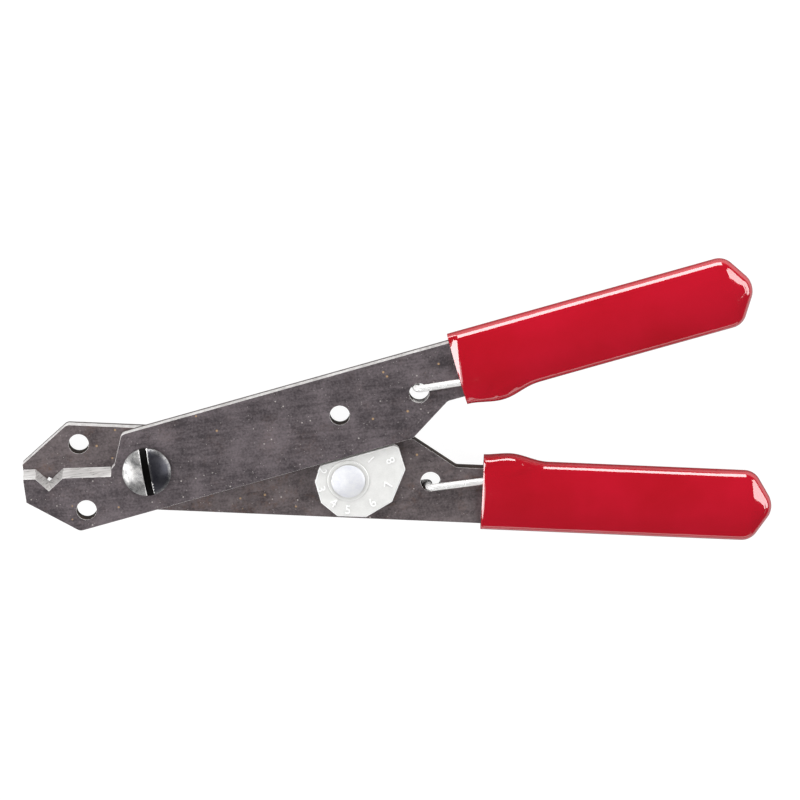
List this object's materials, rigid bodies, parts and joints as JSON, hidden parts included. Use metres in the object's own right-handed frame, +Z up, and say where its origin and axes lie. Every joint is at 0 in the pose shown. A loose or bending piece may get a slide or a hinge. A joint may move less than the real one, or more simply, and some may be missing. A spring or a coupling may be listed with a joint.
{
  "type": "wire stripper",
  "caption": "Hand wire stripper: crossed steel levers with V-notched stripping jaws, a slotted pivot screw, a numbered gauge dial, a return spring and red vinyl grips.",
  "frame": {"origin": "pivot axis of the two levers, on the surface that the tool lies on, which is the underside of the pivot nut", "axes": "+X from the pivot midway between the handles, +Y towards the upper handle, +Z up along the pivot axis, from the nut to the screw's head"},
  "size_m": [0.1251, 0.0497, 0.0087],
  "materials": {
    "lever_steel": "darkened steel, satin, with worn bright edges",
    "grip_vinyl": "glossy dipped vinyl",
    "screw_steel": "blackened and polished",
    "dial_metal": "pale satin",
    "rivet_steel": "plated, bright",
    "plated_steel": "zinc plated",
    "spring_wire": "bright plated wire"
  },
  "bodies": {
    "back_half": {"back_lever": "lever_steel", "lower_grip": "grip_vinyl", "pivot_screw": "screw_steel", "pivot_nut": "plated_steel", "pivot_washer": "plated_steel", "dial_rivet": "rivet_steel", "dial_washer": "plated_steel", "rivet_washer": "plated_steel", "return_spring": "spring_wire"},
    "front_half": {"front_lever": "lever_steel", "upper_grip": "grip_vinyl"},
    "dial": {"dial": "dial_metal"}
  },
  "joints": [
    {"name": "handles", "type": "hinge", "parent": "back_half", "child": "front_half", "pos_m": [0, 0, 0], "axis": [0, 0, 1], "range_deg": [0, 17], "stiffness_Nm_per_rad": 1.2, "springref_deg": 17, "deforming": ["return_spring"]},
    {"name": "dial_turn", "type": "hinge", "parent": "back_half", "child": "dial", "pos_m": [0.03334, -0.00585, 0.0048], "axis": [0, 0, 1], "range_deg": [-7, 2.5]}
  ]
}
